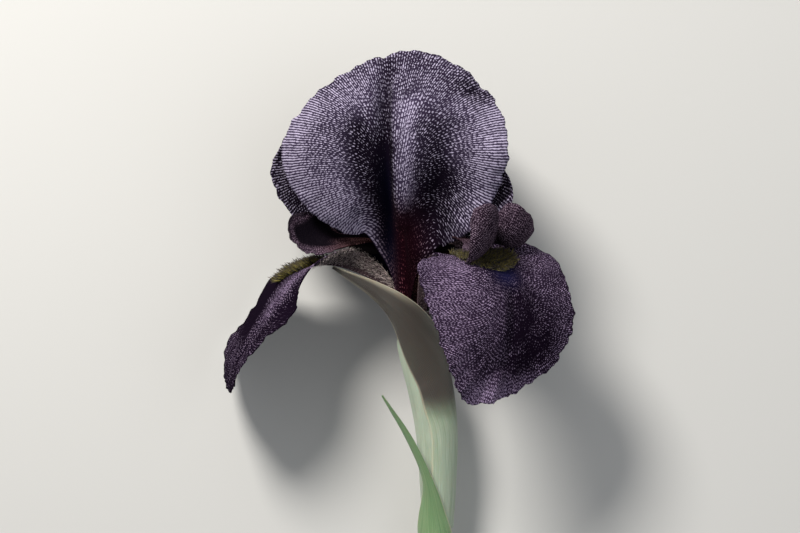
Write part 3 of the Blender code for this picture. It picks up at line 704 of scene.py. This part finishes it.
# Veins across a petal, and the spacing that they are kept near by leaving some out or adding some
STANDARD_GRAIN = (204, 0.75)
FALL_GRAIN = (210, 0.6)
STYLE_GRAIN = (150, 0.55)

# Points across and along the petals' fine grids, for those seen face on and for the rest
FACING_GRID = (321, 91)
OTHER_GRID = (231, 61)
STYLE_GRID = (141, 81)
FINE_CLEARANCE = 0.15

# How pale each petal is, partly its own paleness and partly painted light and painted shade: at the
# margin, how far in the light reaches, and in its middle. The rear standards are darker with painted
# shade. Then soft lines of painted light and painted shade, for the lit and shaded sides of folds,
# the crease and valleys, written as the folds are.
PALENESS_AND_PAINTED_LIGHT = {
    "front_standard": (0.74, 18, 0.5, [
        (-6, 36, -11, 62, 5, -0.4), (-4, 26, -3, 56, 3, -0.75), (-3, 56, -3, 86, 3, -0.3),
        (10, 24, 13, 42, 8, -0.56), (14, 52, 12, 60, 7, -0.2), (2, 36, 4, 70, 3, 0.35),
        (-20, 44, -14, 30, 7, 0.22), (2, 10, 4, 32, 5, -0.5), (-24, 78, -10, 88, 6, -0.2),
        (22, 78, 28, 74, 4, -0.2), (4, 90, 26, 80, 9, -0.22), (-30, 40, -22, 30, 6, 0.1)]),
    "rear_left_standard": (0.3, 14, 0.1, []),
    "rear_right_standard": (0.36, 14, 0.1, []),
    "right_fall": (0.5, 4, 0.58, [
        (4, 70, 8, 80, 9.5, -0.6), (-8, 84, -12, 78, 5, -0.15), (-2, 60, -6, 70, 3.5, 0.12),
        (-6, 96, 14, 90, 5, 0.35), (16, 50, 22, 66, 6, -0.1), (-20, 50, -24, 60, 8, 0.1),
        (0, 30, 0, 52, 9, -0.4)]),
    "left_fall": (0.2, 5, 0.36, [
        (-8, 30, -8, 62, 8, -0.7), (6, 36, 6, 58, 4, 0.22), (16, 44, 18, 62, 6, -0.4),
        (4, 74, 6, 86, 7, -0.18)]),
    "rear_fall": (0.35, 6, 0.35, [(0, 50, 0, 62, 9, -0.4)]),
}


def petal_grid(petal, grid, folds, ruffled):
    """A petal with its folds and frills: (shares, points, distances from the margin, flat x, flat y)."""
    share, s = sheet_grid(*grid)
    t = s**0.8
    degrees = share * petal["meet"]
    x, y = fan(petal, share, t)
    points = petal_points(petal, share, t)
    margin = norm(points - points[-1:])
    normal = grid_normals(points)
    outward = unit(np.gradient(points, axis=0))
    bound = smooth(0.02, 0.22, 1 - np.abs(share)) * smooth(0.2, 0.7, t)
    lift = sum(fold(x, y, *line) for line in folds)
    frill = ruffled * waves(RUFFLE, degrees) * np.exp(-margin / 9)
    frill = frill + waves(FINE_RUFFLE, degrees) * np.exp(-margin / 4)
    points = points + (waves(SCALLOP, degrees) * smooth(0.75, 1, t))[..., None] * outward
    points = points + (lift * smooth(0.1, 0.3, t) + bound * frill)[..., None] * normal
    if "clearance" in petal:
        points = press(points, FINE_CLEARANCE)
    return share, points, margin, x, y


def vein_attribute(share, points, veins, spacing, lowest=-1):
    """(share, length, octave) for the veins' nodes: with each octave there are half as many veins.

    The octave keeps them near the spacing. The spacing and the lowest octave may be arrays.
    """
    pitch = norm(np.gradient(points, axis=1)) / np.gradient(share, axis=1) * 2 / veins
    octave = np.clip(-np.log2(np.maximum(pitch / spacing, 1e-3)), lowest, 6)
    return np.stack([share, running_length(points), octave], -1)


def make_petals():
    # The standards' claw and patch colours are near black: the claws' maroon deepened with painted shade,
    # for the dark hollow at the flower's centre.
    standard = petal_material(
        "standard_velvet_fine", dark=(0.005, 0.003, 0.007), ground=(0.052, 0.038, 0.076),
        pale=(0.43, 0.38, 0.52), claw=(0.01, 0.002, 0.004), claw_pale=(0.13, 0.03, 0.04),
        patch_and_shade=(0.003, 0.003, 0.01), veins=STANDARD_GRAIN[0], bead=1.6, beaded=(0.9, 0.15), seed=3.1)
    fall = petal_material(
        "fall_velvet_fine", dark=(0.006, 0.003, 0.008), ground=(0.04, 0.024, 0.052),
        pale=(0.4, 0.3, 0.46), claw=(0.085, 0.056, 0.062), claw_pale=(0.36, 0.27, 0.265),
        patch_and_shade=(0.01, 0.01, 0.042), veins=FALL_GRAIN[0], bead=1.15, beaded=(1.25, 0.4), seed=8.7)
    for name, petal in PETALS.items():
        upright = "standard" in name
        grid = FACING_GRID if name in ("front_standard", "right_fall") else OTHER_GRID
        outline = {key: dict(sorted({**petal[key], **radii}.items()))
                   for key, radii in FINE_OUTLINE.get(name, {}).items()}
        share, points, margin, x, y = petal_grid(
            {**petal, **outline}, grid, FOLDS[name], RUFFLED.get(name, 1))
        rim, reach, middle, painted_light_lines = PALENESS_AND_PAINTED_LIGHT[name]
        # the petal's paleness, with painted light and painted shade in it
        light = middle + (rim - middle) * np.exp(-(margin / reach)**1.5)
        light = light + sum(fold(x, y, *line) for line in painted_light_lines)
        striped = smooth(15, 3, margin) * smooth(26, 52, y) * (1 - 0.8 * smooth(66, 84, y))
        if upright:
            material, (veins, spacing), lowest = standard, STANDARD_GRAIN, 0
            # claw and patch darken the standard's foot: painted shade of the flower's centre over the
            # claw's maroon
            claw = 0.95 * smooth(46, 24, y) * np.exp(-((x - 1) / 7.5)**2)
            patch_and_shade = 0.85 * smooth(40, 20, y)
        else:
            material, (veins, spacing), lowest = fall, FALL_GRAIN, -1
            claw = 0.95 * smooth(32, 20, y)
            patch_and_shade = 0.9 * np.exp(-((x + 1) / 4.5)**2) * window(y, 46, 50, 54, 62)
        if name == "front_standard":
            # its patch paints the crease blue-black, painted shade of the deep crease with its blue sheen
            # painted in, and its veins are fine beside the claw
            patch_and_shade = 0.9 * np.exp(-((x + 4.2) / 2.4)**2) * window(y, 6, 20, 40, 62)
            lowest = -smooth(15, 9, x) * smooth(40, 28, y) * smooth(-1, 2, x)
            spacing = spacing * (1 + 0.5 * lowest)
        elif name == "left_fall":
            # through the light map, its far half is darkened to black and its near half lightened a little:
            # a pale band with cross stripes
            patch_and_shade = 0
            light = light - 2 * smooth(0.5, -2.5, x) * window(y, 30, 36, 58, 70)
            light = light + 0.06 * smooth(0, 3, x) * window(y, 28, 34, 46, 58)
            striped = 0.8 * smooth(-2, 1, x) * window(y, 26, 34, 48, 62)
            spacing = spacing * (1 + 0.9 * smooth(0, 4, x))
        elif not upright:
            striped = 0.18 * striped
        closed_sheet(name + "_petal", points, 0.42 - 0.16 * np.exp(-margin / 3), material, name,
                     {"vein": vein_attribute(share, points, veins, spacing, lowest),
                      "tone": tones(light, claw, patch_and_shade), "rim": tones(striped)})


# ---- Beards ----

# Where a fall's beard grows: {height on the flat petal: half width} of its strip, its middle,
# the length of its hairs, and how many there are
BEARDS = {
    "left": ({14: 1, 26: 2, 32: 4.5, 42: 4, 47: 1}, -3.5, 3.2, 1500),
    "right": ({14: 1.2, 30: 2.4, 36: 8, 44: 10, 50: 7, 53: 1.5}, -2, 2.1, 2600),
    "rear": ({14: 1.2, 26: 2.2, 32: 6, 42: 7, 48: 2}, 0, 2.2, 1000),
}
HAFT_HAIRS = 1500
HAIR_SIDES = 3
HAIR_CLEARANCE = 0.1
# (share of the hair's length, share of its radius)
HAIR_LEVELS = ((0, 1), (0.5, 0.85), (0.85, 0.9), (1, 0.25))


def hair_roots(petal, weight, count, draw):
    """Roots spread over a petal by a weight for flat places: (points, out, over, up, y)."""
    share, t = sheet_grid(201, 301, 0.75)
    x, y = fan(petal, share, t)
    points = petal_points(petal, share, t)
    along, over = np.gradient(points, axis=0), np.gradient(points, axis=1)
    weigh = (weight(x, y) * norm(np.cross(along, over))).ravel()
    pick = draw.choice(weigh.size, count, p=weigh / weigh.sum())
    shake = draw.random((2, count, 1)) - 0.5
    up = grid_normals(points)
    points, along, over, up = (grid.reshape(-1, 3)[pick] for grid in (points, along, over, up))
    out = unit(along)
    return points + shake[0] * along + shake[1] * over, out, np.cross(out, up), up, y.ravel()[pick]


def hair_piece(name, roots, aims, bends, sizes, radii, marks, material, replaced):
    """One mesh of short tapered hairs. A mark gives each hair's (pick, dark)."""
    one = unit(np.cross(aims, [0.2, 0.3, 0.9]))
    two = np.cross(aims, one)
    rings, hair = [], []
    for level, width in HAIR_LEVELS:
        middle = roots + (aims * level + bends * level**2) * sizes[:, None]
        for angle in np.arange(HAIR_SIDES) * 2 * pi / HAIR_SIDES:
            rings.append(middle + (radii * width)[:, None] * (cos(angle) * one + sin(angle) * two))
            hair.append(np.column_stack([np.full(len(roots), level), marks]))
    verts, hair = np.stack(rings, 1).reshape(-1, 3), np.stack(hair, 1).reshape(-1, 3)
    last = HAIR_SIDES * (len(HAIR_LEVELS) - 1)
    faces = []
    for row in range(0, last, HAIR_SIDES):
        for i in range(HAIR_SIDES):
            k, above = (i + 1) % HAIR_SIDES, row + HAIR_SIDES
            faces += [(row + i, row + k, above + k), (row + i, above + k, above + i)]
    faces += [(2, 1, 0), (last, last + 1, last + 2)]
    firsts = np.arange(len(roots)) * HAIR_SIDES * len(HAIR_LEVELS)
    faces = (firsts[:, None, None] + np.array(faces)).reshape(-1, 3).tolist()
    add_piece(name, to_row(press(verts, HAIR_CLEARANCE)), faces, material, replaced, {"hair": hair})


def make_beards():
    material = hair_material("beard_hairs", (0.12, 0.1, 0.02), (0.3, 0.25, 0.06), (0.02, 0.012, 0.012))
    draw = np.random.default_rng(7)
    for side, (widths, middle, size, count) in BEARDS.items():
        start, full, *_, end = widths

        def strip(x, y):
            return (y > start) * (y < end) * smooth(1.15, 0.7, np.abs(x - middle) / through(widths, y))

        roots, out, over, up, y = hair_roots(PETALS[side + "_fall"], strip, count, draw)
        sizes = size * (0.65 + 0.5 * draw.random(count)) * np.where(y < full, 0.6, 1)
        aims = up + (0.2 + 0.4 * draw.random(count))[:, None] * out
        aims = unit(aims + (0.45 * draw.normal(0, 1, count))[:, None] * over)
        marks = np.column_stack([draw.random(count), 0.9 * (draw.random(count) < 0.32)])
        bends = 0.3 * out + 0.15 * draw.normal(0, 1, (count, 3))
        hair_piece(side + "_beard_hairs", roots, aims, bends, sizes, 0.1 + 0.05 * draw.random(count),
                   marks, material, side + "_beard")


def make_haft_hairs():
    """The left fall's haft is downy on the outside of its near wall."""
    count = HAFT_HAIRS
    material = hair_material("haft_down", (0.08, 0.055, 0.07), (0.98, 0.84, 0.8), (0.72, 0.6, 0.58))
    draw = np.random.default_rng(11)
    roots, out, over, up, y = hair_roots(
        PETALS["left_fall"], lambda x, y: smooth(1.2, 2.5, x) * window(y, 5, 10, 26, 36), count, draw)
    aims = (0.5 + 0.4 * draw.random(count))[:, None] * out - up
    aims = unit(aims + (0.4 * draw.normal(0, 1, count))[:, None] * over)
    pick = (1.25 - y / 22 + 0.2 * draw.normal(0, 1, count)).clip(0, 1)
    marks = np.column_stack([pick, 0.9 * (draw.random(count) < 0.35)])
    hair_piece("left_haft_down", roots, aims, 0.3 * out, 0.8 + 0.9 * draw.random(count),
               0.04 + 0.03 * draw.random(count), marks, material, "left_fall")


# ---- Style arms and stamens ----

def make_style_arms():
    # The style arms' patch colour is the near black of painted shade.
    material = petal_material(
        "style_velvet_fine", dark=(0.005, 0.002, 0.005), ground=(0.028, 0.016, 0.028),
        pale=(0.26, 0.185, 0.25), claw=(0.036, 0.013, 0.012), claw_pale=(0.26, 0.12, 0.105),
        patch_and_shade=(0.004, 0.003, 0.005), veins=STYLE_GRAIN[0], bead=0.9, beaded=(0.95, 0.9), seed=5.3)
    for name, arm in STYLE_ARMS.items():
        share, s = sheet_grid(*STYLE_GRID)
        t = s**0.85
        points = petal_points(arm, share, t)
        margin = norm(points - points[-1:])
        bound = smooth(0.02, 0.3, 1 - np.abs(share)) * smooth(0.55, 0.95, t)
        lift = waves(STYLE_RUFFLE, share * arm["meet"]) * np.exp(-margin / 3) * bound
        points = points + lift[..., None] * grid_normals(points)
        length = running_length(points)
        light = 0.55 + 0.12 * np.exp(-margin / 2)
        claw = 0.9 * smooth(52, 30, length)
        if name == "left_style_arm":
            # its crest is painted black inside and along the rim, painted shade of its hollow and of its
            # edge, with a paler line between, which stands for the rim's highlight
            painted_hollow_shade = 0.97 * smooth(2.2, 4.5, margin) * smooth(0.35, 0.5, t)
            painted_hollow_shade = np.maximum(painted_hollow_shade, 0.8 * smooth(1.6, 0.5, margin)) * smooth(0.5, 0.1, share)
        else:
            # the others are darkened near the centre, painted shade where they run under the standards
            painted_hollow_shade = 0.85 * smooth(50, 34, length)
        closed_sheet(name + "_petal", points, 0.5 - 0.2 * np.exp(-margin / 2), material,
                     name, {"vein": vein_attribute(share, points, *STYLE_GRAIN),
                            "tone": (tones(light, claw, painted_hollow_shade), tones(light, claw)),
                            "rim": tones(smooth(3, 0.5, margin))})


def stamen_path(path, radii, azimuth, count):
    """Evenly read points and radii of the smooth curve through (distance from the axis, height)."""
    turn = radians(azimuth)
    at, fine = np.linspace(0, 1, len(path)), np.linspace(0, 1, count)
    coarse = ([r * cos(turn) for r, _ in path], [r * sin(turn) for r, _ in path],
              [z for _, z in path], radii)
    x, y, z, radius = (through(dict(zip(at, values)), fine) for values in coarse)
    return np.stack([x, y, z], -1), radius


def make_stamens():
    material = shaded_stamen_material()
    for side in ("left", "right", "rear"):
        azimuth = STYLE_ARMS[side + "_style_arm"]["azimuth"]
        path, radii = stamen_path(FILAMENT_PATH, [FILAMENT_RADIUS] * len(FILAMENT_PATH), azimuth, 40)
        rod_piece(side + "_filament_rod", path, radii, material, "stamen", side + "_filament",
                  lambda s: tones(0 * s), sides=14, oval=0.8)
        path, radii = stamen_path(ANTHER_PATH, ANTHER_RADII, azimuth, 48)
        rod_piece(side + "_anther_lobes", path, radii, material, "stamen", side + "_anther",
                  lambda s: tones(1 + 0 * s), sides=28, ribs=2, relief=0.16)


# ---- Stem, ovary, tube, spathes and leaf ----

def axis_rod(name, heights, radii, material, slot, replaced, tone, **shape):
    path = np.stack([through(AXIS, heights), 0 * heights, heights], -1)
    rod_piece(name, path, radii, material, slot, replaced, tone, **shape)


def make_stem():
    skin = green_material("stem_skin_fine", (0.21, 0.33, 0.15), (0.42, 0.52, 0.3), (0.2, 0.11, 0.11),
                          0.42, 2.2, 26, 0.0001)
    tube = green_material("tube_skin_fine", (0.15, 0.19, 0.09), (0.3, 0.33, 0.2), (0.05, 0.018, 0.022),
                          0.5, 4.4, 18, 0.00008)
    heights = np.linspace(STEM_END, STEM_TOP, 140)
    radii = STEM_RADIUS * (1 - 0.03 * np.exp(-(heights - STEM_END) / 1.2))
    axis_rod("stem_rod", heights, radii, skin, "stem_skin", "stem",
             lambda s: tones(0.45 - 0.2 * s, 0, 0.5 * np.exp(-s * 160)), ribs=13, relief=0.006)
    shares = np.linspace(0, 1, 90)
    foot = STEM_TOP + GAP
    radii = TUBE_RADIUS + (OVARY_RADIUS - TUBE_RADIUS) * np.sin(pi * shares)**0.6
    axis_rod("ovary_pod", foot + shares * (OVARY_TOP - foot), radii, skin, "stem_skin", "ovary",
             lambda s: tones(0.25 + 0 * s, 0.25 * s), ribs=6, relief=0.035)
    foot = OVARY_TOP + GAP
    radii = TUBE_RADIUS + (TUBE_MOUTH_RADIUS - TUBE_RADIUS) * shares**5
    axis_rod("perianth_tube_skin", foot + shares * (TUBE_TOP - foot), radii, tube, "tube_skin",
             "perianth_tube", lambda s: tones(0.3 - 0.3 * s, 1.1 * s), ribs=6, relief=0.03)


def ribbon_piece(name, stations, grid, thickness, material, tone, crease=0):
    share, t = sheet_grid(*grid)
    points = ribbon_points([on_stem(station) for station in stations], share, t)
    length = running_length(points)
    relief = crease * np.sin(9 * share + 3 * t) * np.sin(7 * t) * (1 - np.abs(share)**4)
    points = points + relief[..., None] * grid_normals(points)
    closed_sheet(name + "_blade", points, thickness * (1 - 0.5 * np.abs(share)**6), material, name,
                 {"vein": tones(share, length), "tone": tone(np.abs(share), points[..., 2])})


def make_leaves():
    # The spathe's flush colour is its own dark olive-brown flush and the painted shadow of the flower.
    spathe = green_material("spathe_skin_fine", (0.24, 0.32, 0.2), (0.45, 0.52, 0.41),
                            (0.062, 0.052, 0.044), 0.5, 6.1, 44, 0.0001)
    leaf = green_material("leaf_skin_fine", (0.15, 0.28, 0.12), (0.33, 0.45, 0.24), (0.18, 0.09, 0.09),
                          0.45, 9.4, 22, 0.00012)

    def outer_tone(off, z):
        # its upper part is less pale and flushed: partly its own flush, partly painted shadow of the flower
        high, hood = smooth(-40, -20, z), smooth(2, 12, z)
        edge = smooth(0.93, 0.98, off) * (0.35 + 0.5 * hood)
        edge = np.maximum(edge, 0.42 * hood * smooth(0.45, 0.9, off))
        return tones(0.55 - 0.5 * high, high, edge)

    def inner_tone(off, _):
        edge = smooth(0.86, 0.98, off)
        return tones(0.75 - 0.3 * edge, 0.25 + 0.8 * edge)

    def leaf_tone(off, _):
        return tones(0.35, 0.1, 0.55 * smooth(0.9, 0.98, off))

    ribbon_piece("outer_spathe", OUTER_SPATHE, (121, 161), SPATHE_THICKNESS, spathe,
                 outer_tone, 0.12)
    ribbon_piece("inner_spathe", INNER_SPATHE, (101, 101), SPATHE_THICKNESS, spathe,
                 inner_tone, 0.12)
    ribbon_piece("stem_leaf", STEM_LEAF, (61, 181), LEAF_THICKNESS, leaf, leaf_tone)


# ---- Floor, light and camera ----

VIEW_CENTRE = (-4, 0, 17)
VIEW_DISTANCE = 900
VIEW_WIDTH = 264
SENSOR_WIDTH = 36


def make_floor():
    bpy.ops.mesh.primitive_grid_add(x_subdivisions=20, y_subdivisions=20, size=6)
    floor = bpy.context.object
    floor.name = "floor"
    g = Nodes("floor_paint", 0.7)
    colour = g.mix(g.noise(g.place(), 3, 4), (0.54, 0.535, 0.518), (0.58, 0.575, 0.558))
    floor.data.materials.append(g.finish(colour))


def put_object(name, data, place, turn):
    """An object at a plant point. The turn is its axes' matrix, or None to look at the flower."""
    thing = bpy.data.objects.new(name, data)
    bpy.context.scene.collection.objects.link(thing)
    place, centre = Vector(to_row(place)), Vector(to_row(VIEW_CENTRE))
    if turn is None:
        turn = (centre - place).to_track_quat("-Z", "Y").to_matrix()
    thing.matrix_world = Matrix.Translation(place) @ turn.to_4x4()
    return thing


def add_light(name, place, size, power, colour):
    light = bpy.data.lights.new(name, "AREA")
    light.shape, light.size, light.energy, light.color = "DISK", size, power, colour
    put_object(name, light, place, None)


def make_view():
    camera = bpy.data.cameras.new("camera")
    camera.sensor_width = SENSOR_WIDTH
    camera.lens = SENSOR_WIDTH * VIEW_DISTANCE / VIEW_WIDTH
    camera.clip_start, camera.clip_end = 0.01, 20
    x, _, z = VIEW_CENTRE
    axes = TURN @ Matrix(((1, 0, 0), (0, 0, -1), (0, 1, 0)))
    scene = bpy.context.scene
    scene.camera = put_object("camera", camera, (x, -VIEW_DISTANCE, z), axes)
    scene.view_settings.view_transform = "Standard"
    scene.world = bpy.data.worlds.new("studio")
    scene.world.use_nodes = True
    background = scene.world.node_tree.nodes["Background"]
    background.inputs["Color"].default_value = (0.93, 0.96, 1, 1)
    background.inputs["Strength"].default_value = 0.28
    add_light("key", (-330, -560, 620), 0.3, 10.5, (1, 0.97, 0.92))
    add_light("fill", (500, -700, 60), 0.9, 1.6, (0.93, 0.96, 1))
    add_light("rim", (-200, 150, 900), 0.5, 2.4, (1, 0.98, 0.95))


make_view()
make_floor()
make_petals()
make_beards()
make_haft_hairs()
make_style_arms()
make_stamens()
make_stem()
make_leaves()
